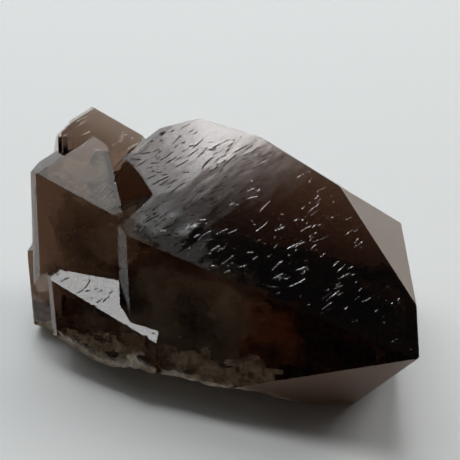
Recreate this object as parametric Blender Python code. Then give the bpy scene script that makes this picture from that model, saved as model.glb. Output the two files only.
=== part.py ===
"""Smoky quartz cluster: one large doubly ended crystal with smaller parallel crystals grown into its
left side, joined in one solid that rests on its broken underside. Metres, +Z up."""

import math
from itertools import combinations

import bmesh
import bpy
import numpy as np
from mathutils import Euler, Matrix, Vector, noise

MM = 0.001

# Directions of the large crystal's faces: azimuth and rise of the outward normal, in degrees.
FACES = {
    "top": (-83.1, 67.0),
    "front": (-107.5, 20.3),
    "under": (-90.1, -21.0),
    "beyond": (-37.2, -29.1),
    "right": (-3.3, 0.1),
    "crown": (2.2, 48.5),
    "back": (49.7, 44.5),
    "shoulder": (39.4, 47.5),
    "crest": (65.2, 40.8),
    "bevel": (116.7, 57.9),
    "rear_edge": (161.0, 67.7),
    "rear_strip": (171.9, 66.0),
    "left_strip": (-140.4, 13.4),
    "rear_slope": (142.8, 29.1),
    "far": (72.5, -20.3),
    "left": (176.7, -0.1),
    "flank": (23.5, 3.0),
    "brow": (-89.0, 21.0),
    "edge": (-162.0, 5.0),
}

# Distances of the faces from each crystal's centre, in mm.
MAIN_CENTRE = (5.0, 0.0, 22.0)
MAIN = {
    "top": 21.59,
    "front": 30.48,
    "under": 39.01,
    "beyond": 44.72,
    "right": 36.85,
    "crown": 28.65,
    "shoulder": 23.95,
    "crest": 23.34,
    "bevel": 33.63,
    "rear_edge": 34.70,
    "left_strip": 36.94,
    "rear_slope": 34.6,
    "far": 20.5,
    "left": 29.9,
}

# The growth behind the large crystal's left corner, which the block stands against.
BRIDGE = {
    "top": 21.2,
    "front": 20.0,
    "right": -14.0,
    "crest": 22.9,
    "bevel": 33.3,
    "rear_edge": 34.3,
    "rear_slope": 34.2,
    "left_strip": 31.0,
    "far": 20.2,
    "left": 33.2,
}

# The block at the left, a little turned from the large crystal.
BLOCK_CENTRE = (-36.7, -2.8, 34.8)
BLOCK_TURN = (-2.0, -3.0, -10.3)
BLOCK = {
    "top": 9.33,
    "front": 6.78,
    "under": 13.88,
    "flank": 9.70,
    "crown": 14.34,
    "back": 16.80,
    "rear_strip": 12.76,
    "left_strip": 9.63,
    "rear_slope": 15.6,
    "far": 16.0,
    "left": 11.6,
}

# The thin crystal standing behind the block, with its stepped left edge.
BLADE_CENTRE = (-31.7, 7.5, 40.0)
BLADE_TURN = (-4.0, 2.8, -2.6)
BLADE = {
    "top": 7.54,
    "brow": 5.2,
    "right": 9.43,
    "back": 11.43,
    "rear_strip": 12.56,
    "rear_slope": 13.6,
    "far": 12.5,
    "edge": 7.7,
}
# Each step of the blade's left edge: how far out it stands and how far below the top it lies.
BLADE_STEPS = ((1.1, 0.9), (2.2, 2.0), (3.1, 3.4))

# The low crystal in front of the block, and the rough piece at its left end.
SHELF_CENTRE = (-32.2, -18.4, 15.0)
SHELF_TURN = (6.0, -3.0, -10.3)
SHELF = {
    "top": 7.0,
    "front": 4.46,
    "right": 17.4,
    "left_strip": 8.8,
    "rear_strip": 13.0,
    "far": 30.0,
    "left": 12.4,
}
END_CENTRE = (-43.0, -7.0, 12.0)
END_PIECE = {
    "top": 12.0,
    "front": 3.6,
    "right": 6.0,
    "left_strip": 6.6,
    "rear_strip": 13.4,
    "far": 12.0,
    "left": 7.6,
}

# The front lower edge of the broken underside: place across, place in depth and height, in mm.
BREAK_EDGE = (
    (-52.0, -8.0, 2.5),
    (-43.0, -19.5, 9.0),
    (-34.0, -25.0, 7.3),
    (-27.0, -28.4, 7.0),
    (-21.0, -31.0, 8.6),
    (-15.0, -32.8, 9.5),
    (-6.0, -35.4, 9.3),
    (1.8, -37.0, 9.5),
    (4.5, -36.4, 7.6),
    (13.0, -34.7, 3.4),
    (18.0, -33.6, 0.3),
    (24.0, -33.4, -2.0),
)
BREAK_SLOPE = 0.85
BREAK_BUMP = 0.9
BREAK_CELL = 2.4
PIT_DEPTH = 5.0
PIT_LEVEL = 0.12
FOOT_DEPTH = 6.0


def clear_objects():
    for item in list(bpy.data.objects):
        bpy.data.objects.remove(item, do_unlink=True)


def direction(azimuth, rise):
    a, r = math.radians(azimuth), math.radians(rise)
    return Vector((math.cos(r) * math.cos(a), math.cos(r) * math.sin(a), math.sin(r)))


def turned(turn):
    """Face normals after a small turn about the three axes, in degrees."""
    spin = Euler([math.radians(v) for v in turn]).to_matrix()
    return {name: spin @ direction(*where) for name, where in FACES.items()}


def planes_of(centre, distances, turn=(0.0, 0.0, 0.0)):
    """Each face as a point on it and its outward normal, in mm."""
    middle = Vector(centre)
    normals = turned(turn)
    floor = (Vector((0.0, 0.0, -FOOT_DEPTH)), Vector((0.0, 0.0, -1.0)))
    return [floor] + [(middle + normals[name] * reach, normals[name]) for name, reach in distances.items()]


def plane_by_points(first, second, third, outward):
    a, b, c = Vector(first), Vector(second), Vector(third)
    normal = (b - a).cross(c - a).normalized()
    if normal.dot(Vector(outward)) < 0:
        normal.negate()
    return a, normal


def corners_of(planes):
    """The points where three planes meet that lie inside all the others, each once, in mm."""
    found = []
    for trio in combinations(planes, 3):
        rows = Matrix([tuple(normal) for _, normal in trio])
        if abs(rows.determinant()) < 1e-4:
            continue
        place = rows.inverted() @ Vector([point.dot(normal) for point, normal in trio])
        inside = all((place - point).dot(normal) < 1e-3 for point, normal in planes)
        if inside and all((place - other).length > 1e-2 for other in found):
            found.append(place)
    return found


def convex_body(name, planes):
    """A closed body that keeps the side behind every plane's normal."""
    bm = bmesh.new()
    for place in corners_of(planes):
        bm.verts.new(place * MM)
    hull = bmesh.ops.convex_hull(bm, input=bm.verts)
    spare = [item for item in hull["geom_interior"] + hull["geom_unused"] if isinstance(item, bmesh.types.BMVert)]
    bmesh.ops.delete(bm, geom=list(set(spare)), context="VERTS")
    bmesh.ops.dissolve_limit(bm, angle_limit=math.radians(0.2), verts=bm.verts, edges=bm.edges)
    bmesh.ops.recalc_face_normals(bm, faces=bm.faces)
    mesh = bpy.data.meshes.new(name)
    bm.to_mesh(mesh)
    bm.free()
    body = bpy.data.objects.new(name, mesh)
    bpy.context.collection.objects.link(body)
    return body


def combine(base, other, operation):
    """Applies one exact boolean and removes the second body."""
    modifier = base.modifiers.new(operation.lower(), "BOOLEAN")
    modifier.operation = operation
    modifier.solver = "EXACT"
    modifier.object = other
    graph = bpy.context.evaluated_depsgraph_get()
    mesh = bpy.data.meshes.new_from_object(base.evaluated_get(graph))
    base.modifiers.clear()
    base.data = mesh
    bpy.data.objects.remove(other, do_unlink=True)


def valley_cutters():
    """The re-entrant between the block and the large crystal, and the small facet at the block's corner."""
    bottom_a, bottom_b, bottom_c = (-26.8, -1.2, 44.0), (-26.2, -0.1, 43.0), (-25.9, -4.5, 40.2)
    rim_a, rim_b, rim_c = (-24.8, 1.9, 47.8), (-21.4, -3.3, 45.5), (-16.8, -8.2, 43.3)
    inward = (1.0, 0.2, -0.5)
    rear_wall = plane_by_points(rim_a, rim_b, bottom_b, inward)
    front_wall = plane_by_points(rim_b, rim_c, bottom_c, inward)
    ledge_normal = -direction(168.0, 62.0)
    ledge = (Vector((-20.2, -10.6, 42.25)), ledge_normal)
    left_end = (Vector((-36.0, 0.0, 40.0)), Vector((-1.0, 0.0, 0.0)))
    roof = (Vector((0.0, 0.0, 60.0)), Vector((0.0, 0.0, 1.0)))
    valley = [rear_wall, front_wall, ledge, left_end, roof]
    corner = [
        plane_by_points((-32.0, -10.3, 42.3), (-26.2, -7.7, 43.8), (-26.5, -13.8, 41.3), (0, 0, -1)),
        (Vector((-18.0, 0.0, 0.0)), Vector((1.0, 0.0, 0.0))),
        (Vector((-45.0, 0.0, 0.0)), Vector((-1.0, 0.0, 0.0))),
        (Vector((0.0, -30.0, 0.0)), Vector((0.0, -1.0, 0.0))),
        (Vector((0.0, 5.0, 0.0)), Vector((0.0, 1.0, 0.0))),
        roof,
    ]
    return valley, corner


def break_height(x, y):
    """Height of the broken underside in mm at a place in mm."""
    places = [row[0] for row in BREAK_EDGE]
    behind = y - np.interp(x, places, [row[1] for row in BREAK_EDGE])
    edge = np.interp(x, places, [row[2] for row in BREAK_EDGE])
    rough = noise.cell(Vector((x * 0.21, y * 0.21, 3.0))) - 0.5
    rough += noise.noise(Vector((x * 0.13, y * 0.13, 7.0))) * 1.4
    fade = min(1.0, max(0.25, behind / 6.0))
    slope = max(0.0, float(edge - BREAK_SLOPE * behind + BREAK_BUMP * fade * rough))
    pit = noise.noise(Vector((x * 0.09, y * 0.09, 21.0))) + 0.4 * noise.noise(Vector((x * 0.3, y * 0.3, 2.0)))
    return slope + max(0.0, PIT_DEPTH * (pit - PIT_LEVEL))


def underside_cutter():
    """A slab below the cluster whose upper side is the broken surface."""
    xs = np.arange(-62.0, 56.0, BREAK_CELL)
    ys = np.arange(-58.0, 40.0, BREAK_CELL)
    bm = bmesh.new()
    upper = []
    lower = []
    for i, x in enumerate(xs):
        shift = 0.5 * BREAK_CELL * (i % 2)
        upper.append([bm.verts.new((x, y + shift, break_height(x, y + shift))) for y in ys])
        lower.append([bm.verts.new((x, y + shift, -30.0)) for y in ys])
    for i in range(len(xs) - 1):
        for j in range(len(ys) - 1):
            quad = (upper[i][j], upper[i + 1][j], upper[i + 1][j + 1], upper[i][j + 1])
            bm.faces.new(quad[:3])
            bm.faces.new((quad[0], quad[2], quad[3]))
            bm.faces.new((lower[i][j], lower[i][j + 1], lower[i + 1][j + 1], lower[i + 1][j]))
    last_i, last_j = len(xs) - 1, len(ys) - 1
    for i in range(last_i):
        bm.faces.new((upper[i][0], lower[i][0], lower[i + 1][0], upper[i + 1][0]))
        bm.faces.new((upper[i + 1][last_j], lower[i + 1][last_j], lower[i][last_j], upper[i][last_j]))
    for j in range(last_j):
        bm.faces.new((upper[0][j + 1], lower[0][j + 1], lower[0][j], upper[0][j]))
        bm.faces.new((upper[last_i][j], lower[last_i][j], lower[last_i][j + 1], upper[last_i][j + 1]))
    bmesh.ops.recalc_face_normals(bm, faces=bm.faces)
    bmesh.ops.scale(bm, vec=(MM, MM, MM), verts=bm.verts)
    mesh = bpy.data.meshes.new("underside_cutter")
    bm.to_mesh(mesh)
    bm.free()
    body = bpy.data.objects.new("underside_cutter", mesh)
    bpy.context.collection.objects.link(body)
    body.hide_render = True
    body.display_type = "WIRE"
    return body


def quartz_material():
    material = bpy.data.materials.new("smoky_quartz")
    material.use_nodes = True
    shader = material.node_tree.nodes["Principled BSDF"]
    shader.inputs["Base Color"].default_value = (0.075, 0.045, 0.032, 1.0)
    shader.inputs["Roughness"].default_value = 0.12
    shader.inputs["Metallic"].default_value = 0.0
    return material


def main():
    clear_objects()
    cluster = convex_body("smoky_quartz_cluster", planes_of(MAIN_CENTRE, MAIN))
    combine(cluster, convex_body("bridge", planes_of(MAIN_CENTRE, BRIDGE)), "UNION")
    valley, corner = valley_cutters()
    combine(cluster, convex_body("valley", valley), "DIFFERENCE")
    block = convex_body("block", planes_of(BLOCK_CENTRE, BLOCK, BLOCK_TURN))
    combine(block, convex_body("corner", corner), "DIFFERENCE")
    combine(cluster, block, "UNION")
    combine(cluster, convex_body("blade", planes_of(BLADE_CENTRE, BLADE, BLADE_TURN)), "UNION")
    for out, down in BLADE_STEPS:
        step = {name: reach - 0.15 * down for name, reach in BLADE.items()}
        step["edge"] = BLADE["edge"] + out
        step["top"] = BLADE["top"] - down
        step["rear_strip"] = BLADE["rear_strip"] - down
        step["right"] = 0.5 * down
        combine(cluster, convex_body("step", planes_of(BLADE_CENTRE, step, BLADE_TURN)), "UNION")
    combine(cluster, convex_body("shelf", planes_of(SHELF_CENTRE, SHELF, SHELF_TURN)), "UNION")
    combine(cluster, convex_body("end_piece", planes_of(END_CENTRE, END_PIECE, SHELF_TURN)), "UNION")
    combine(cluster, underside_cutter(), "DIFFERENCE")
    bm = bmesh.new()
    bm.from_mesh(cluster.data)
    bmesh.ops.remove_doubles(bm, verts=bm.verts, dist=2e-5)
    bmesh.ops.triangulate(bm, faces=bm.faces)
    low = Vector([min(v.co[i] for v in bm.verts) for i in range(3)])
    high = Vector([max(v.co[i] for v in bm.verts) for i in range(3)])
    bmesh.ops.translate(bm, vec=(-(low.x + high.x) / 2, -(low.y + high.y) / 2, -low.z), verts=bm.verts)
    bmesh.ops.recalc_face_normals(bm, faces=bm.faces)
    bm.to_mesh(cluster.data)
    bm.free()
    cluster.data.materials.clear()
    cluster.data.materials.append(quartz_material())
    for polygon in cluster.data.polygons:
        polygon.use_smooth = False


main()
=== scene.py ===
import math

import bmesh
import bpy
import numpy as np
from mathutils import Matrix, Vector, geometry, kdtree, noise
from mathutils.bvhtree import BVHTree


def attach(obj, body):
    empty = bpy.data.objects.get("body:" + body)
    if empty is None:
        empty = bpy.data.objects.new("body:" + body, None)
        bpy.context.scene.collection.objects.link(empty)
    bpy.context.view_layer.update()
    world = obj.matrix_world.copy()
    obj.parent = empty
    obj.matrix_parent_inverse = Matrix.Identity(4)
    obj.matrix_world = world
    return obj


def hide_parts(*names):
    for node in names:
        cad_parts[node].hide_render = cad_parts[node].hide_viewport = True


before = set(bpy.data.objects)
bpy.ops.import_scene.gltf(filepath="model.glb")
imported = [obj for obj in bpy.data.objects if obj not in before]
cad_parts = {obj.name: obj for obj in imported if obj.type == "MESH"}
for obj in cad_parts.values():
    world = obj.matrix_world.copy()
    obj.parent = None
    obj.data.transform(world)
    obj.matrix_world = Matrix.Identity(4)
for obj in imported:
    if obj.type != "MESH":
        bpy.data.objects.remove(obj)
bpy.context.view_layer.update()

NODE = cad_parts["smoky_quartz_cluster"]
RANDOM = np.random.default_rng(20)
MM = 0.001

# The shift from the drawing frame of the part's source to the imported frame, in mm.
SHIFT = np.array([4.09, 5.346, 0.0])

# Outward directions of the large crystal's faces: azimuth and rise in degrees.
TOP = (-83.1, 67.0)
FRONT = (-107.5, 20.3)
UNDER = (-90.1, -21.0)
CROWN = (2.2, 48.5)
REAR_STRIP = (171.9, 66.0)
LEFT_STRIP = (-140.4, 13.4)

# The same for the smaller crystals on its left: the tall thin blade, the block and the low shelf.
BLADE_TOP = (-76.5, 70.4)
BLADE_REAR = (158.7, 67.8)
BLADE_EDGE = (-164.9, 8.9)
BLOCK_TOP = (-100.6, 69.2)
BLOCK_FRONT = (-119.2, 21.3)
SHELF_FRONT = (-118.0, 13.7)

# How near a face's direction has to be to count as one of those, in degrees.
PARALLEL = 17
STRIP_PARALLEL = 20
SAME = 6
EXACT = 2

CLEAR, FROSTED, BROKEN, ETCHED = range(4)

# Roughness, share of body colour and colour of each kind of surface.
SURFACES = {
    CLEAR: (0.035, 0.0, (0.97, 0.96, 0.95)),
    FROSTED: (0.28, 0.20, (0.66, 0.43, 0.31)),
    BROKEN: (0.45, 0.50, (0.80, 0.68, 0.52)),
    ETCHED: (0.06, 0.0, (0.97, 0.96, 0.95)),
}


def direction(azimuth, rise):
    a, r = math.radians(azimuth), math.radians(rise)
    return np.array([math.cos(r) * math.cos(a), math.cos(r) * math.sin(a), math.sin(r)])


def unit(v):
    return v / np.linalg.norm(v)


def like(normal, face, degrees):
    return float(normal @ direction(*face)) > math.cos(math.radians(degrees))


STREAK = unit(np.cross(direction(*TOP), direction(*REAR_STRIP)))
C_AXIS = unit(np.cross(direction(*REAR_STRIP), direction(*LEFT_STRIP)))
UP_LEFT = (-0.6, 0.8, 0.0)


# The solid's flat faces.

MERGE_GAP = 2e-6
FLAT_ANGLE = math.radians(0.35)
SEEN_EDGE_STEP = 0.441
HIDDEN_EDGE_STEP = 1.1025


def split_edges(bm):
    """Every edge cut into short parts, shorter where the front views show it."""
    for edge in list(bm.edges):
        seen = any(f.normal.z > -0.2 and f.normal.y < 0.45 for f in edge.link_faces)
        step = SEEN_EDGE_STEP if seen else HIDDEN_EDGE_STEP
        parts = max(1, math.ceil(edge.calc_length() / MM / step))
        start = edge.verts[0]
        for k in range(parts - 1):
            edge, start = bmesh.utils.edge_split(edge, start, 1.0 / (parts - k))
            edge = next(e for e in start.link_edges if e is not edge)


def flat_faces():
    """The solid's flat faces as outlines over shared corners, in mm.

    Each corner has its slant and its sharpness."""
    bm = bmesh.new()
    bm.from_mesh(NODE.data)
    bmesh.ops.remove_doubles(bm, verts=bm.verts, dist=MERGE_GAP)
    bmesh.ops.dissolve_limit(bm, angle_limit=FLAT_ANGLE, verts=bm.verts, edges=bm.edges)
    bmesh.ops.recalc_face_normals(bm, faces=bm.faces)
    split_edges(bm)
    bm.verts.ensure_lookup_table()
    bm.faces.ensure_lookup_table()
    bm.verts.index_update()
    corners = np.array([v.co for v in bm.verts]) / MM
    outlines = [([v.index for v in f.verts], np.array(f.normal), f.calc_area() / MM**2) for f in bm.faces]
    slant = np.zeros((len(corners), 3))
    for f in bm.faces:
        for v in f.verts:
            slant[v.index] += np.array(f.normal)
    slant /= np.linalg.norm(slant, axis=1)[:, None]
    sharp = np.zeros(len(corners))
    for e in bm.edges:
        if len(e.link_faces) == 2 and e.is_convex:
            for v in e.verts:
                sharp[v.index] = max(sharp[v.index], e.calc_face_angle(0.0))
    bm.free()
    return corners, outlines, slant, sharp


# The plates along the blade's left edge. The solid has them as deep steps below its top and rear faces.
BLADE_TOP_REACH = 38.86
BLADE_REAR_REACH = 61.05
PLATE_LEFT_OF = -25.0
PLATE_GAP = 0.08
PLATE_FOOT = 2.6
# Of each plate, in mm: its step in the solid, and the step left at its top face and at its rear face.
PLATES = ((0.9, 0.26, 0.25), (2.0, 0.54, 0.60), (3.4, 0.90, 1.05))


def raise_plates(corners, outlines):
    """The blade's edge plates brought up to low steps, with their feet left in place.

    The moved corners are returned."""
    planes = np.array([direction(*BLADE_TOP), direction(*BLADE_REAR), direction(*BLADE_EDGE)])
    held = set()
    for ids, normal, _ in outlines:
        if not any(like(normal, face, EXACT) for face in (BLADE_TOP, BLADE_REAR, BLADE_EDGE)):
            held |= set(ids)
    moved = set()
    for drop, top_drop, rear_drop in PLATES:
        picked = set()
        for ids, normal, _ in outlines:
            reach = float(normal @ corners[ids[0]])
            on_top = like(normal, BLADE_TOP, EXACT) and abs(reach - BLADE_TOP_REACH + drop) < PLATE_GAP
            on_rear = like(normal, BLADE_REAR, EXACT) and abs(reach - BLADE_REAR_REACH + drop) < PLATE_GAP
            if (on_top or on_rear) and corners[ids][:, 0].mean() < PLATE_LEFT_OF:
                picked |= set(ids)
        step = np.linalg.solve(planes, np.array([drop - top_drop, drop - rear_drop, 0.0]))
        feet = corners[sorted(picked & held)]
        picked = sorted(picked - held)
        gaps = np.linalg.norm(corners[picked][:, None] - feet[None], axis=2).min(axis=1)
        corners[picked] = corners[picked] + step * np.clip(gaps / PLATE_FOOT, 0, 1)[:, None]
        moved |= set(picked)
    return moved


def kind_of(normal, area, outline):
    """Which kind of surface a flat face has."""
    high = outline[:, 2].max()
    if normal[2] < -0.52 or (area < 9.0 and high < 14.0 and normal[2] < 0.4):
        return BROKEN
    far_left = area < 60.0 and high < 25.0 and normal[0] < -0.5 and outline[:, 0].mean() < -38
    if like(normal, CROWN, SAME) or like(normal, UNDER, SAME) or far_left:
        return FROSTED
    if like(normal, TOP, PARALLEL):
        return ETCHED
    return CLEAR


# Plane geometry on one face.

NO_POINTS = np.zeros((0, 2))


def inside(points, outline):
    """Which points lie inside the closed outline."""
    result = np.zeros(len(points), bool)
    x, y = points[:, 0], points[:, 1]
    for (x1, y1), (x2, y2) in zip(outline, np.roll(outline, -1, axis=0)):
        crosses = (y1 > y) != (y2 > y)
        if crosses.any():
            result ^= crosses & (x < (x2 - x1) * (y - y1) / (y2 - y1 + 1e-12) + x1)
    return result


def border_distance(points, outline):
    """Distance from each point to the nearest side of the outline, in mm."""
    best = np.full(len(points), 1e9)
    for a, b in zip(outline, np.roll(outline, -1, axis=0)):
        along = b - a
        size = max(float(along @ along), 1e-9)
        t = np.clip((points - a) @ along / size, 0, 1)
        best = np.minimum(best, np.linalg.norm(points - a - t[:, None] * along, axis=1))
    return best


def step_of(normal, area):
    """Mesh step along and across the streaks of a face, in mm."""
    if area < 6.0:
        return 0.9, 0.9
    if like(normal, TOP, PARALLEL):
        return 0.50, 0.22
    if normal[2] > -0.45 and normal[1] < 0.3:
        return 0.9, 0.40
    return 1.8, 1.4


def streak_of(normal):
    """The direction in which a face is streaked by its growth."""
    if like(normal, TOP, PARALLEL) or normal[2] > 0.8:
        along = STREAK
    elif like(normal, FRONT, PARALLEL) or like(normal, LEFT_STRIP, STRIP_PARALLEL):
        along = np.cross(direction(*FRONT), direction(*LEFT_STRIP))
    else:
        along = np.cross(normal, C_AXIS)
    along = unit(along - normal * (along @ normal))
    if np.cross(normal, along) @ UP_LEFT < 0:
        along = -along
    return along


GRID_JITTER = 0.12


def face_grid(flat, step_u, step_v):
    """Points over a face in staggered rows, a little out of line and kept off its sides."""
    us = np.arange(flat[:, 0].min(), flat[:, 0].max(), step_u)
    vs = np.arange(flat[:, 1].min(), flat[:, 1].max(), step_v)
    if not len(us) or not len(vs):
        return NO_POINTS
    gu, gv = np.meshgrid(us, vs)
    gu = gu + (np.arange(len(vs)) % 2)[:, None] * step_u / 2
    grid = np.stack([gu.ravel(), gv.ravel()], axis=1)
    grid += RANDOM.uniform(-GRID_JITTER, GRID_JITTER, grid.shape) * (step_u, step_v)
    grid = grid[inside(grid, flat)]
    if len(grid):
        grid = grid[border_distance(grid, flat) > 0.3 * (step_u + step_v) / 2 + 0.05]
    return grid


# Growth lines: thin raised lines on the top faces, with a foot on each side, in mm.

LINE_STEP = 0.34
LIT_SIDE = 0.17
FAR_SIDE = 0.15
LINE_BEND = 0.06
LINE_WAVER = 0.03
LINE_TO_BORDER = 0.45
LINE_TO_LINE = 0.42
LINE_TO_GRID = 0.17
LEAN_LIMITS = (-0.85, 0.5)
LINED_AREA = 20.0
# Of each family: how many to a square mm, length, slope, lean and the lean's spread in radians.
LINE_FAMILIES = (
    (0.50, (1.3, 4.6), (0.05, 0.17), -0.18, 0.15),
    (0.50, (0.7, 2.2), (0.05, 0.19), -0.40, 0.32),
    (0.10, (3.5, 8.0), (0.03, 0.12), -0.05, 0.08),
)


def drawn_line(draw, low, high, length, slope, lean, spread):
    """One slightly bent line of points somewhere on a face: its middle, its points and its lift."""
    middle = draw.uniform(low, high)
    reach = draw.uniform(*length)
    lift = draw.uniform(*slope) * LIT_SIDE
    turn = np.clip(lean + draw.normal(0.0, spread), *LEAN_LIMITS)
    bend = draw.normal(0.0, LINE_BEND)
    steps = max(3, int(reach / LINE_STEP))
    du = np.linspace(-0.5, 0.5, steps + 1) * reach
    line = middle + np.stack([du, np.tan(turn) * du + bend * du * du], axis=1)
    line[1:-1] += draw.normal(0.0, LINE_WAVER, (steps - 1, 2))
    return middle, line, lift


def crest_and_feet(draw, line, lift, start):
    """The points of one line's crest and feet, their lifts, and the mesh edges between them."""
    steps = len(line) - 1
    last = start + steps
    ahead = np.gradient(line, axis=0)
    ahead /= np.linalg.norm(ahead, axis=1)[:, None]
    side = np.stack([-ahead[:, 1], ahead[:, 0]], axis=1)
    points = list(line)
    lifts = [0.0] + list(lift * draw.uniform(0.85, 1.1, steps - 1)) + [0.0]
    for offset in (LIT_SIDE, -FAR_SIDE):
        points += list((line + side * offset)[1:-1])
        lifts += [0.0] * (steps - 1)
    edges = [(k, k + 1) for k in range(start, last)]
    for foot in (last + 1, last + steps):
        foot_end = foot + steps - 2
        edges += [(k, k + 1) for k in range(foot, foot_end)]
        edges += [(start, foot), (foot_end, last)]
    return points, lifts, edges


def line_marks(flat, area, seed):
    """A face's growth lines, thinning out towards its right end: points, lifts and mesh edges."""
    draw = np.random.default_rng(seed)
    points, lifts, edges, taken = [], [], [], NO_POINTS
    low, high = flat.min(axis=0), flat.max(axis=0)
    for share, *shape in LINE_FAMILIES:
        for _ in range(int(area * share)):
            middle, line, lift = drawn_line(draw, low, high, *shape)
            if not inside(line, flat).all() or border_distance(line, flat).min() < LINE_TO_BORDER:
                continue
            thick = noise.noise(Vector((middle[0] * 0.09, middle[1] * 0.13, seed)))
            along = (middle[0] - low[0]) / (high[0] - low[0])
            if draw.random() > 0.95 + 1.2 * thick - 0.5 * along:
                continue
            gaps = np.sqrt(((line[:, None] - taken[None]) ** 2).sum(axis=2))
            if len(taken) and gaps.min() < LINE_TO_LINE:
                continue
            taken = np.concatenate([taken, line])
            more_points, more_lifts, more_edges = crest_and_feet(draw, line, lift, len(points))
            points += more_points
            lifts += more_lifts
            edges += more_edges
    return np.array(points).reshape(-1, 2), np.array(lifts), edges


def clear_of(grid, cut):
    """The grid points that keep their distance from the lines' points."""
    near = kdtree.KDTree(len(cut))
    for k, (x, y) in enumerate(cut):
        near.insert((x, y, 0.0), k)
    near.balance()
    return grid[[near.find((x, y, 0.0))[2] > LINE_TO_GRID for x, y in grid]]


# Relief: height in mm, length along and across the streaks, and an offset to the noise.

TOP_RELIEF = ((0.0010, 12.0, 0.7, 0), (0.008, 6.0, 2.4, 4))
FRONT_RELIEF = ((0.0012, 7.0, 0.7, 0), (0.005, 9.0, 9.0, 2))
STRIP_RELIEF = ((0.012, 12.0, 0.45, 0),)
OTHER_RELIEF = ((0.005, 8.0, 0.9, 0),)

# Low round swellings of the large crystal's top face: place, radius and height in mm.
DOMED_AREA = 300
TOP_DOMES = (
    ((-6.1, -12.6, 38.7), 2.1, 0.10),
    ((-4.4, -10.6, 39.3), 1.0, 0.05),
    ((-9.6, -9.0, 40.3), 2.2, 0.035),
    ((-12.6, -12.6, 39.0), 2.4, 0.05),
    ((-16.0, -10.4, 40.1), 2.0, 0.03),
    ((-1.5, -15.0, 37.6), 1.8, 0.04),
    ((33.2, -8.3, 38.5), 0.9, 0.05),
    ((31.0, -11.0, 37.6), 1.1, 0.05),
)


def field(u, v, size_u, size_v, seed):
    """Smooth noise from -1 to 1 with its own length along and across the streaks."""
    values = np.empty(len(u))
    for i in range(len(u)):
        values[i] = noise.fractal(Vector((u[i] / size_u, v[i] / size_v, seed)), 0.6, 2.0, 2)
    return values


def lumps(spots, fineness, seed):
    """Noise from 0 to 1 over places in the crystal."""
    shift = Vector((seed, 0, 0))
    return np.array([0.5 + 0.62 * noise.noise(Vector(p) * fineness + shift) for p in spots])


def relief_of(normal, area, u, v, spots):
    """Relief of one flat face in mm, as a function of the place along and across its streaks."""
    layers = OTHER_RELIEF
    if like(normal, TOP, PARALLEL):
        layers = TOP_RELIEF
    elif like(normal, FRONT, PARALLEL):
        layers = FRONT_RELIEF
    elif like(normal, LEFT_STRIP, STRIP_PARALLEL) or like(normal, REAR_STRIP, STRIP_PARALLEL):
        layers = STRIP_RELIEF
    seed = 3.0 + 7.0 * abs(float(normal[0])) + area * 0.01
    relief = sum(height * field(u, v, long, wide, seed + offset) for height, long, wide, offset in layers)
    if layers is TOP_RELIEF and area > DOMED_AREA:
        for where, radius, lift in TOP_DOMES:
            far = ((spots - np.array(where)) ** 2).sum(axis=1) / radius ** 2
            relief += lift * np.exp(-far)
    return relief


# Wear and breakage, in mm.

EDGE_WEAR = 0.004
CORNER_CHIP = 0.40
WORN_ANGLE = 0.3
RIM_TOP = 22.0
CHIPPED = 0.12
CHIPPED_AREA = 12.0
CLOUDED_LEFT_OF = -13.0


def wear_of(corners, sharp):
    """How deep each corner of a convex edge is worn: hardly at all, with small chips here and there."""
    wear = np.array([noise.noise(Vector(c) * 0.45) + 0.6 * noise.noise(Vector(c) * 1.7) for c in corners])
    return np.where(sharp > WORN_ANGLE, EDGE_WEAR + CORNER_CHIP * np.clip(wear - 0.55, 0, 1), 0.0)


def rim_finder(corners, outlines, skins):
    """A finder of the nearest corner of the broken base."""
    torn = sorted({k for (ids, _, _), skin in zip(outlines, skins) if skin == BROKEN for k in ids})
    torn = [k for k in torn if corners[k][2] < RIM_TOP]
    finder = kdtree.KDTree(len(torn))
    for k in torn:
        finder.insert(corners[k], k)
    finder.balance()
    return finder


def chip_share(spots, rim):
    """How far each place is chipped, from 0 to 1: an uneven band along the broken base."""
    reach = np.array([rim.find(place)[2] for place in spots])
    wide = 0.35 + 3.4 * np.clip(lumps(spots, 0.16, 9.0) - 0.42, 0, 1) + 0.7 * lumps(spots, 0.8, 3.0)
    wide += np.where(spots[:, 0] < CLOUDED_LEFT_OF, 1.6 * lumps(spots, 0.5, 11.0), 0.0)
    return np.clip(1.25 - reach / wide, 0, 1)


# The crystal's skin.

FILLED_AREA = 1.5
PLATE_AREA = 10.0
CDT_INSIDE = 1


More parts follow.
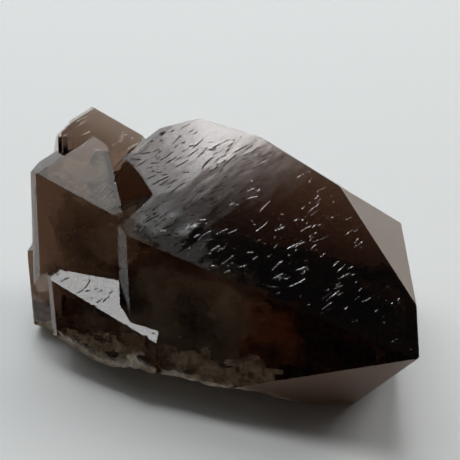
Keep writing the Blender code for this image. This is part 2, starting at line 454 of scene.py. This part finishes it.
def fill_face(face, number, kind, corners, moved, rim):
    """One flat face filled with triangles: its new places, its loops and the kind of each loop.

    A loop's number below zero stands for a new place: -1 for the first."""
    ids, normal, area = face
    along = streak_of(normal)
    across = np.cross(normal, along)
    origin = corners[next((k for k in ids if k in moved), ids[0])]
    flat = np.stack([(corners[ids] - origin) @ along, (corners[ids] - origin) @ across], axis=1)
    border = len(flat)
    grid = NO_POINTS
    if area > FILLED_AREA and not (area < PLATE_AREA and moved.intersection(ids)):
        grid = face_grid(flat, *step_of(normal, area))
    lifts = np.zeros(len(grid))
    sides = [(i, (i + 1) % border) for i in range(border)]
    if like(normal, TOP, PARALLEL) and area > LINED_AREA:
        cut, cut_lifts, cut_edges = line_marks(flat, area, number)
        if len(cut):
            grid = clear_of(grid, cut)
            start = border + len(grid)
            sides += [(start + i, start + j) for i, j in cut_edges]
            lifts = np.concatenate([np.zeros(len(grid)), cut_lifts])
            grid = np.concatenate([grid, cut])
    points = [Vector(p) for p in flat] + [Vector(p) for p in grid]
    made = geometry.delaunay_2d_cdt(points, sides, [list(range(border))], CDT_INSIDE, 1e-5)
    keys = [min(origins) if origins else -1 for origins in made[3]]

    chips = np.zeros(border + len(grid))
    places = np.zeros((0, 3))
    if len(grid):
        gap = border_distance(grid, flat)
        spots = origin + grid[:, :1] * along + grid[:, 1:] * across
        relief = relief_of(normal, area, grid[:, 0], grid[:, 1], spots)
        relief = relief * np.clip((gap - 0.15) / 0.8, 0, 1) + lifts
        if kind == BROKEN:
            relief -= 0.30 * np.clip(gap / 0.5, 0, 1) * lumps(spots, 0.55, 0.0)
        elif area > CHIPPED_AREA and normal[2] > -0.5:
            chips[border:] = chip_share(spots, rim)
            chips[:border] = [rim.find(corners[k])[2] < 0.01 for k in ids]
            depth = chips[border:] * (0.10 + 0.30 * lumps(spots, 0.9, 5.0))
            relief -= depth * np.clip(gap / 0.3, 0, 1)
        places = spots + normal * relief[:, None]

    loops, kinds = [], []
    for triangle in made[2]:
        loop = [keys[k] for k in triangle]
        if min(loop) < 0 or len(set(loop)) < 3:
            continue
        kinds.append(BROKEN if min(chips[loop]) > CHIPPED else kind)
        loops.append([ids[k] if k < border else border - k - 1 for k in loop])
    return places, loops, kinds


def body_mesh():
    """The crystal's skin: every flat face filled with a fine mesh that carries its growth relief."""
    corners, outlines, slant, sharp = flat_faces()
    moved = raise_plates(corners, outlines)
    skins = [kind_of(normal, area, corners[ids]) for ids, normal, area in outlines]
    rim = rim_finder(corners, outlines, skins)
    places = [corners - slant * wear_of(corners, sharp)[:, None]]
    count = len(corners)
    triangles, kinds = [], []
    for number, face in enumerate(outlines):
        new_places, loops, loop_kinds = fill_face(face, number, skins[number], corners, moved, rim)
        triangles += [[k if k >= 0 else count - 1 - k for k in loop] for loop in loops]
        kinds += loop_kinds
        places.append(new_places)
        count += len(new_places)
    places = np.concatenate(places)
    places[:, 2] = np.maximum(places[:, 2], 0.0)
    return places * MM, triangles, kinds


SHARP_ANGLE = math.radians(9.0)
ETCHED_SHARP_ANGLE = math.radians(2.6)


def linked(name, data):
    piece = bpy.data.objects.new(name, data)
    bpy.context.scene.collection.objects.link(piece)
    return piece


def mark_faces(mesh, kinds):
    """Roughness, body, mottling and colour of each triangle, for the material to read."""
    for mark, pick in (("skin_roughness", 0), ("skin_body", 1)):
        layer = mesh.attributes.new(mark, "FLOAT", "FACE")
        layer.data.foreach_set("value", [SURFACES[kind][pick] for kind in kinds])
    layer = mesh.attributes.new("skin_mottle", "FLOAT", "FACE")
    layer.data.foreach_set("value", [float(kind == BROKEN) for kind in kinds])
    layer = mesh.attributes.new("skin_colour", "FLOAT_COLOR", "FACE")
    layer.data.foreach_set("color", [v for kind in kinds for v in (*SURFACES[kind][2], 1.0)])


def make_body(name, places, triangles, kinds):
    """The crystal's piece, shaded smooth but for its crystal edges and growth lines."""
    mesh = bpy.data.meshes.new(name)
    mesh.from_pydata([tuple(p) for p in places], [], triangles)
    mesh.polygons.foreach_set("use_smooth", [True] * len(triangles))
    mark_faces(mesh, kinds)
    mesh.update()
    bm = bmesh.new()
    bm.from_mesh(mesh)
    bm.faces.ensure_lookup_table()
    for edge in bm.edges:
        if len(edge.link_faces) == 2:
            etched = all(kinds[face.index] == ETCHED for face in edge.link_faces)
            edge.smooth = edge.calc_face_angle(0.0) < (ETCHED_SHARP_ANGLE if etched else SHARP_ANGLE)
    loose = [v for v in bm.verts if not v.link_faces]
    bmesh.ops.delete(bm, geom=loose, context="VERTS")
    bm.to_mesh(mesh)
    bm.free()
    return linked(name, mesh)


# Materials.

IOR = 1.544
SMOKE_COLOUR = (0.42, 0.26, 0.14, 1.0)
SMOKE_DENSITY = 145.0


def new_material(name):
    material = bpy.data.materials.new(name)
    material.use_nodes = True
    return material, material.node_tree, material.node_tree.nodes["Principled BSDF"]


def matt_material(name, colour, roughness, specular=None):
    material, _, shader = new_material(name)
    shader.inputs["Base Color"].default_value = colour
    shader.inputs["Roughness"].default_value = roughness
    if specular is not None:
        shader.inputs["Specular IOR Level"].default_value = specular
    return material


def read_mark(tree, name, output="Fac"):
    node = tree.nodes.new("ShaderNodeAttribute")
    node.attribute_name = name
    return node.outputs[output]


def cloud_noise(tree, scale, detail, roughness=0.5):
    texture = tree.nodes.new("ShaderNodeTexNoise")
    texture.inputs["Scale"].default_value = scale
    texture.inputs["Detail"].default_value = detail
    texture.inputs["Roughness"].default_value = roughness
    where = tree.nodes.new("ShaderNodeTexCoord")
    tree.links.new(where.outputs["Object"], texture.inputs["Vector"])
    return texture.outputs["Fac"]


def map_range(tree, source, from_low, from_high, to_low=0.0, to_high=1.0):
    node = tree.nodes.new("ShaderNodeMapRange")
    node.inputs["From Min"].default_value = from_low
    node.inputs["From Max"].default_value = from_high
    node.inputs["To Min"].default_value = to_low
    node.inputs["To Max"].default_value = to_high
    tree.links.new(source, node.inputs["Value"])
    return node.outputs[0]


def add_smoke(tree):
    """The brown of the quartz: light taken away along its way through the crystal."""
    smoke = tree.nodes.new("ShaderNodeVolumeAbsorption")
    smoke.inputs["Color"].default_value = SMOKE_COLOUR
    smoke.inputs["Density"].default_value = SMOKE_DENSITY
    tree.links.new(smoke.outputs[0], tree.nodes["Material Output"].inputs["Volume"])


def quartz():
    """Smoky quartz: clear and brown all through, with etched, frosted and broken places on its skin."""
    material, tree, shader = new_material("smoky_quartz_crystal")
    shader.inputs["IOR"].default_value = IOR
    tree.links.new(read_mark(tree, "skin_roughness"), shader.inputs["Roughness"])
    clear = tree.nodes.new("ShaderNodeMath")
    clear.operation = "SUBTRACT"
    clear.inputs[0].default_value = 1.0
    tree.links.new(read_mark(tree, "skin_body"), clear.inputs[1])
    tree.links.new(clear.outputs[0], shader.inputs["Transmission Weight"])
    ramp = tree.nodes.new("ShaderNodeValToRGB")
    dark, light = ramp.color_ramp.elements
    dark.position, dark.color = 0.38, (0.45, 0.36, 0.27, 1)
    light.position, light.color = 0.60, (1.0, 1.0, 1.0, 1)
    tree.links.new(cloud_noise(tree, 420.0, 4.0), ramp.inputs["Fac"])
    tint = tree.nodes.new("ShaderNodeMix")
    tint.data_type = "RGBA"
    tint.blend_type = "MULTIPLY"
    colours = [socket for socket in tint.inputs if socket.type == "RGBA"]
    tree.links.new(read_mark(tree, "skin_mottle"), tint.inputs[0])
    tree.links.new(read_mark(tree, "skin_colour", "Color"), colours[0])
    tree.links.new(ramp.outputs["Color"], colours[1])
    result = [socket for socket in tint.outputs if socket.type == "RGBA"][0]
    tree.links.new(result, shader.inputs["Base Color"])
    add_smoke(tree)
    return material


def veil_material(name, colour, scale, low, high, most):
    """A thin cloud inside the crystal: patches of healed cracks with clear gaps between them."""
    material, tree, shader = new_material(name)
    shader.inputs["Base Color"].default_value = (*colour, 1.0)
    shader.inputs["Roughness"].default_value = 0.8
    shader.inputs["Specular IOR Level"].default_value = 0.0
    patches = map_range(tree, cloud_noise(tree, scale, 5.0, 0.62), low, high, 0.0, most)
    tree.links.new(patches, shader.inputs["Alpha"])
    return material


places, triangles, kinds = body_mesh()
body = make_body("crystal_body", places, triangles, kinds)
body.data.materials.append(quartz())
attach(body, "root")
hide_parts("smoky_quartz_cluster")

# Veils and specks inside the quartz, kept clear of its skin.

SKIN = BVHTree.FromPolygons([tuple(p) for p in places], triangles)
UPWARD = Vector((0.013, 0.021, 1.0)).normalized()
ABOVE_FLOOR = 0.5


def depth_inside(point):
    """How far under the skin a point lies, in mm; below zero outside."""
    start, crossings = Vector(point) * MM, 0
    distance = SKIN.find_nearest(start)[3] / MM
    hit = SKIN.ray_cast(start, UPWARD)[0]
    while hit is not None:
        crossings += 1
        hit = SKIN.ray_cast(hit + UPWARD * 1e-6, UPWARD)[0]
    return distance if crossings % 2 else -distance


def inner_piece(name, points, faces, material):
    """A piece inside the crystal, made of the points that its faces use."""
    used = sorted({k for face in faces for k in face})
    place = {k: number for number, k in enumerate(used)}
    faces = [tuple(place[k] for k in face) for face in faces]
    mesh = bpy.data.meshes.new(name)
    mesh.from_pydata([tuple(points[k] * MM) for k in used], [], faces)
    mesh.polygons.foreach_set("use_smooth", [True] * len(faces))
    mesh.materials.append(material)
    piece = linked(name, mesh)
    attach(piece, "root")


def waves(u, v, seed):
    """The height of a veil's waves, in mm."""
    long_waves = noise.noise(Vector((u * 0.12, v * 0.12, seed)))
    short_waves = noise.noise(Vector((u * 0.5, v * 0.5, seed)))
    return 1.6 * long_waves + 0.4 * short_waves


def veil_sheet(centre, normal, wide, high, seed, step, margin, points, faces):
    """One wavy oval sheet through the crystal, added to the lists; only what lies well inside is kept."""
    normal = unit(normal)
    along = unit(C_AXIS - normal * (C_AXIS @ normal))
    across = np.cross(normal, along)
    steps_u, steps_v = max(4, int(wide / step)), max(4, int(high / step))
    start = len(points)
    good = []
    for i in range(steps_u + 1):
        for j in range(steps_v + 1):
            u, v = (i / steps_u - 0.5) * wide, (j / steps_v - 0.5) * high
            point = centre + along * u + across * v + normal * waves(u, v, seed)
            oval = (2 * u / wide) ** 2 + (2 * v / high) ** 2
            good.append(oval < 1.0 and point[2] > ABOVE_FLOOR and depth_inside(point) > margin)
            points.append(point)
    for i in range(steps_u):
        for j in range(steps_v):
            a = i * (steps_v + 1) + j
            loop = (a, a + 1, a + steps_v + 2, a + steps_v + 1)
            if all(good[k] for k in loop):
                faces.append(tuple(start + k for k in loop))


def bank(seed, centre, facing, spread, depths, count, sizes, grain, points, faces):
    """A bank of veils behind one face: places spread about a centre, each at its own depth."""
    draw = np.random.default_rng(seed)
    facing = direction(*facing)
    for number in range(count):
        place = np.array(centre) + draw.uniform(-1.0, 1.0, 3) * spread
        place = place - facing * ((place - centre) @ facing) - facing * draw.uniform(*depths)
        lean = facing + draw.normal(0.0, 0.30, 3)
        wide, high = draw.uniform(*sizes), draw.uniform(*sizes) * 0.75
        veil_sheet(place, lean, wide, high, seed + 3.0 * number, *grain, points, faces)


# Mesh step of the veils and their least depth under the skin, in mm.
DEEP = (1.1, 0.5)
SHALLOW = (0.5, 0.12)

# Of each piece: its material's name, colour, noise scale, where the noise starts and is full, most cover,
# grain and banks. Of each bank: seed, a place on the face before it, the way that faces, spread, depths
# behind it, number of veils and their sizes, in mm.
VEILS = {
    "brown_veils": ("brown_veil", (0.82, 0.59, 0.42), 90.0, 0.15, 0.65, 0.45, DEEP, (
        (47, (-31.0, -7.1, 32.0), BLOCK_FRONT, (9.0, 5.0, 11.0), (1.5, 7.0), 40, (8.0, 16.0)),
        (48, (-26.0, -20.0, 11.0), SHELF_FRONT, (12.0, 5.0, 6.0), (1.0, 5.0), 30, (5.0, 12.0)),
    )),
    "inner_veils": ("pale_veil", (0.68, 0.55, 0.40), 110.0, 0.33, 0.80, 0.42, DEEP, (
        (41, (-6.0, -24.0, 21.0), FRONT, (12.0, 3.0, 13.0), (0.7, 6.0), 44, (9.0, 21.0)),
        (42, (-13.0, -20.5, 24.0), FRONT, (6.0, 3.0, 9.0), (0.6, 4.0), 30, (7.0, 15.0)),
        (45, (-8.0, -25.0, 15.5), FRONT, (8.0, 3.0, 5.0), (0.5, 4.0), 30, (6.0, 12.0)),
        (43, (-26.0, -20.0, 11.0), SHELF_FRONT, (11.0, 5.0, 6.0), (0.4, 4.0), 26, (5.0, 12.0)),
        (44, (-31.0, -7.1, 33.9), BLOCK_FRONT, (9.0, 5.0, 10.0), (0.8, 6.0), 24, (6.0, 15.0)),
        (49, (-29.2, 3.3, 45.3), BLOCK_TOP, (8.0, 7.0, 2.0), (0.6, 3.2), 24, (6.0, 12.0)),
    )),
    # Partly cloud sheets in the crystal, partly painted glow: their red-orange stands in for the red of
    # light that has come a long way through the brown quartz.
    "veils_with_painted_glow": ("painted_glow_veil", (0.95, 0.33, 0.14), 110.0, 0.33, 0.80, 0.30, DEEP, (
        (46, (10.5, -28.6, 21.5), FRONT, (6.0, 2.0, 7.0), (1.2, 8.0), 30, (7.0, 14.0)),
    )),
    "rim_veils": ("rim_veil", (0.86, 0.71, 0.53), 260.0, 0.33, 0.60, 0.9, SHALLOW, (
        (52, (1.0, -29.2, 12.5), FRONT, (14.0, 2.0, 3.6), (0.3, 1.8), 60, (3.0, 7.0)),
        (53, (-26.5, -20.2, 10.5), SHELF_FRONT, (11.0, 4.0, 3.4), (0.2, 1.6), 50, (2.5, 6.0)),
    )),
}

# Swarms of flakes: middle, spread and number.
FLAKES = (
    ((-3.0, -26.0, 20.0), (20.0, 8.0, 14.0), 330),
    ((-27.0, -17.0, 12.0), (14.0, 7.0, 9.0), 330),
    ((-32.0, -3.0, 33.0), (9.0, 7.0, 10.0), 120),
    ((18.0, -24.0, 14.0), (14.0, 7.0, 9.0), 90),
)
FLAKE_DEPTHS = (0.25, 5.0)
FLAKE_SIZES = (0.06, 0.22)
LARGE_FLAKE_SHARE = 0.08


def flakes():
    """Tiny bright flakes just under the front faces."""
    points, faces = [], []
    draw = np.random.default_rng(57)
    for centre, spread, count in FLAKES:
        for _ in range(count):
            point = np.array(centre) + draw.normal(0.0, 0.5, 3) * spread
            if not FLAKE_DEPTHS[0] < depth_inside(point) < FLAKE_DEPTHS[1]:
                continue
            size = draw.uniform(*FLAKE_SIZES) * (1 + (draw.random() < LARGE_FLAKE_SHARE))
            a, b = (unit(draw.normal(0.0, 1.0, 3)) for _ in range(2))
            start = len(points)
            points += [point + a * size, point + b * size, point - a * size * 0.8, point - b * size * 0.7]
            faces.append((start, start + 1, start + 2, start + 3))
    return points, faces


for name, (material_name, colour, scale, low, high, most, grain, banks) in VEILS.items():
    points, faces = [], []
    for values in banks:
        bank(*values, grain, points, faces)
    inner_piece(name, points, faces, veil_material(material_name, colour, scale, low, high, most))
inner_piece("inner_flakes", *flakes(), matt_material("pale_flake", (0.90, 0.80, 0.62, 1.0), 0.35))

# The floor, the lights and the camera, in metres.

FLOOR_HALF = 4.0
FLOOR_COLOUR = (0.60, 0.612, 0.61, 1.0)
# Black of the card that paints shade into reflections.
PAINTED_SHADE_COLOUR = (0.012, 0.011, 0.010, 1.0)
# The card, a black sheet of painted shade that only reflections and views through the quartz see: its
# side by the object, its far side, its level and the height of its raised edge.
CARD_NEAR = ((-0.110, -0.016), (-0.054, -0.018), (-0.040, -0.036), (-0.005, -0.050), (0.10, -0.060))
CARD_FAR = ((-0.24, -0.03), (-0.22, -0.12), (-0.14, -0.19), (0.0, -0.22), (0.14, -0.20))
CARD_LEVEL = 0.0006
CARD_EDGE = 0.12


def stage_piece(name, points, faces, material):
    mesh = bpy.data.meshes.new(name)
    mesh.from_pydata(points, [], faces)
    mesh.materials.append(material)
    piece = linked(name, mesh)
    return piece


def pale_floor():
    side = FLOOR_HALF
    points = [(-side, -side, 0), (side, -side, 0), (side, side, 0), (-side, side, 0)]
    stage_piece("floor", points, [(0, 1, 2, 3)], matt_material("pale_board", FLOOR_COLOUR, 0.7))


def painted_shade_card():
    """A black card lying in front of the object, which only glossy and clear surfaces see: painted shade
    in their reflections, standing in for dark surroundings.
    """
    points = [(x, y, CARD_LEVEL) for x, y in CARD_NEAR + CARD_FAR]
    points += [(x, y, CARD_EDGE) for x, y in CARD_FAR]
    row = len(CARD_NEAR)
    faces = []
    for k in range(row - 1):
        faces.append((k, k + 1, k + row + 1, k + row))
        faces.append((k + row, k + row + 1, k + 2 * row + 1, k + 2 * row))
    # A black sheet of painted shade, seen only in reflections and through the quartz.
    card = stage_piece("painted_shade_card", points, faces, matt_material("painted_shade_black", PAINTED_SHADE_COLOUR, 1.0, 0.0))
    card.visible_camera = False
    card.visible_diffuse = False
    card.visible_shadow = False


def area_light(name, place, width, depth, radiance, colour=(1.0, 1.0, 1.0)):
    """A rectangular lamp of an even radiance, shining straight down."""
    light = bpy.data.lights.new(name, "AREA")
    light.shape = "RECTANGLE"
    light.size, light.size_y = width, depth
    light.energy = radiance * width * depth * math.pi
    light.color = colour
    lamp = linked(name, light)
    lamp.location = place
    return lamp


# Lamps that face the object's middle: place, width, depth, radiance and colour.
HEART = Vector((0.0, 0.0, 0.04))
LAMPS = {
    "overhead_low": ((0.0, 0.095, 1.2), 0.13, 0.10, 0.55, (1.0, 0.95, 0.88)),
    "overhead_left": ((-0.35, 0.335, 1.2), 0.34, 0.24, 2.3, (1.0, 0.98, 0.95)),
    "left_top": ((-0.375, -0.205, 1.2), 0.26, 0.20, 7.0),
    "floor_light": ((0.10, 0.30, 1.5), 0.5, 0.4, 9.0),
    "back_window": ((-0.35, 1.0, 1.35), 1.5, 0.7, 5.0, (0.95, 0.985, 1.0)),
    "right_fill": ((1.05, 0.65, 1.15), 0.8, 0.8, 4.5, (1.0, 0.985, 0.96)),
    "left_fill": ((-1.0, 0.35, 1.1), 0.7, 0.7, 1.2, (0.93, 0.98, 1.0)),
}

# The overhead light fades at its near and left sides. It is made of layers, one just above the other:
# of each, where it ends towards the viewer and on the left, and its share of the radiance.
OVERHEAD = (0.070, 0.280, 1.2)
OVERHEAD_TURN = math.radians(24.8)
OVERHEAD_RADIANCE = 12.5
OVERHEAD_REAR = -0.06
NARROW_LAYERS = 4
NARROW_RIGHT = 0.085
WIDE_RIGHT = 0.13
LAYER_GAP = 0.004
OVERHEAD_LAYERS = (
    (0.030, -0.022, 0.15), (0.040, -0.036, 0.15), (0.048, -0.056, 0.20), (0.055, -0.080, 0.18),
    (0.062, -0.13, 0.12), (0.070, -0.16, 0.08), (0.085, -0.18, 0.04), (0.105, -0.18, 0.05),
    (0.125, -0.18, 0.03),
)


def overhead_light():
    major = np.array([math.cos(OVERHEAD_TURN), math.sin(OVERHEAD_TURN)])
    minor = np.array([math.sin(OVERHEAD_TURN), -math.cos(OVERHEAD_TURN)])
    for number, (near, left, share) in enumerate(OVERHEAD_LAYERS):
        right = NARROW_RIGHT if number < NARROW_LAYERS else WIDE_RIGHT
        middle = np.array(OVERHEAD[:2]) + major * (left + right) / 2 + minor * (near + OVERHEAD_REAR) / 2
        place = (*middle, OVERHEAD[2] + LAYER_GAP * number)
        size = (right - left, near - OVERHEAD_REAR)
        lamp = area_light(f"overhead_{number}", place, *size, OVERHEAD_RADIANCE * share)
        lamp.rotation_euler = (0.0, 0.0, OVERHEAD_TURN)


def aimed_lights():
    for name, values in LAMPS.items():
        lamp = area_light(name, *values)
        lamp.rotation_mode = "QUATERNION"
        lamp.rotation_quaternion = (Vector(values[0]) - HEART).to_track_quat("Z", "Y")
    bpy.data.objects["left_top"].visible_diffuse = False
    bpy.data.objects["floor_light"].visible_glossy = False
    bpy.data.objects["floor_light"].visible_transmission = False


def dim_room():
    """A dark room with a pale glow low behind the object."""
    world = bpy.data.worlds.new("room")
    bpy.context.scene.world = world
    world.use_nodes = True
    tree = world.node_tree
    where = tree.nodes.new("ShaderNodeTexCoord")
    split = tree.nodes.new("ShaderNodeSeparateXYZ")
    tree.links.new(where.outputs["Generated"], split.inputs[0])
    both = tree.nodes.new("ShaderNodeMath")
    both.operation = "MULTIPLY"
    tree.links.new(map_range(tree, split.outputs["Y"], 0.1, 0.6), both.inputs[0])
    tree.links.new(map_range(tree, split.outputs["Z"], 0.55, 0.15), both.inputs[1])
    background = tree.nodes["Background"]
    strength = map_range(tree, both.outputs[0], 0.0, 1.0, 0.035, 1.5)
    tree.links.new(strength, background.inputs["Strength"])
    background.inputs["Color"].default_value = (0.97, 0.99, 1.0, 1.0)


pale_floor()
painted_shade_card()
overhead_light()
aimed_lights()
dim_room()

CAMERA = (np.array([-0.51, -176.11, 164.0]) + SHIFT) * MM
LOOKS_DOWN = 38.0
SENSOR_MM = 36.0
FOCAL_PER_PICTURE = 900.0 / 460.0

lens = bpy.data.cameras.new("camera")
lens.sensor_width = SENSOR_MM
lens.lens = SENSOR_MM * FOCAL_PER_PICTURE
lens.clip_start, lens.clip_end = 0.01, 20.0
camera = linked("camera", lens)
camera.location = tuple(CAMERA)
camera.rotation_euler = (math.radians(90.0 - LOOKS_DOWN), 0.0, 0.0)
scene = bpy.context.scene
scene.camera = camera
scene.view_settings.view_transform = "Standard"
scene.cycles.max_bounces = 24
scene.cycles.transmission_bounces = 20
scene.cycles.glossy_bounces = 12
scene.cycles.transparent_max_bounces = 24
scene.cycles.caustics_refractive = True
scene.cycles.caustics_reflective = True
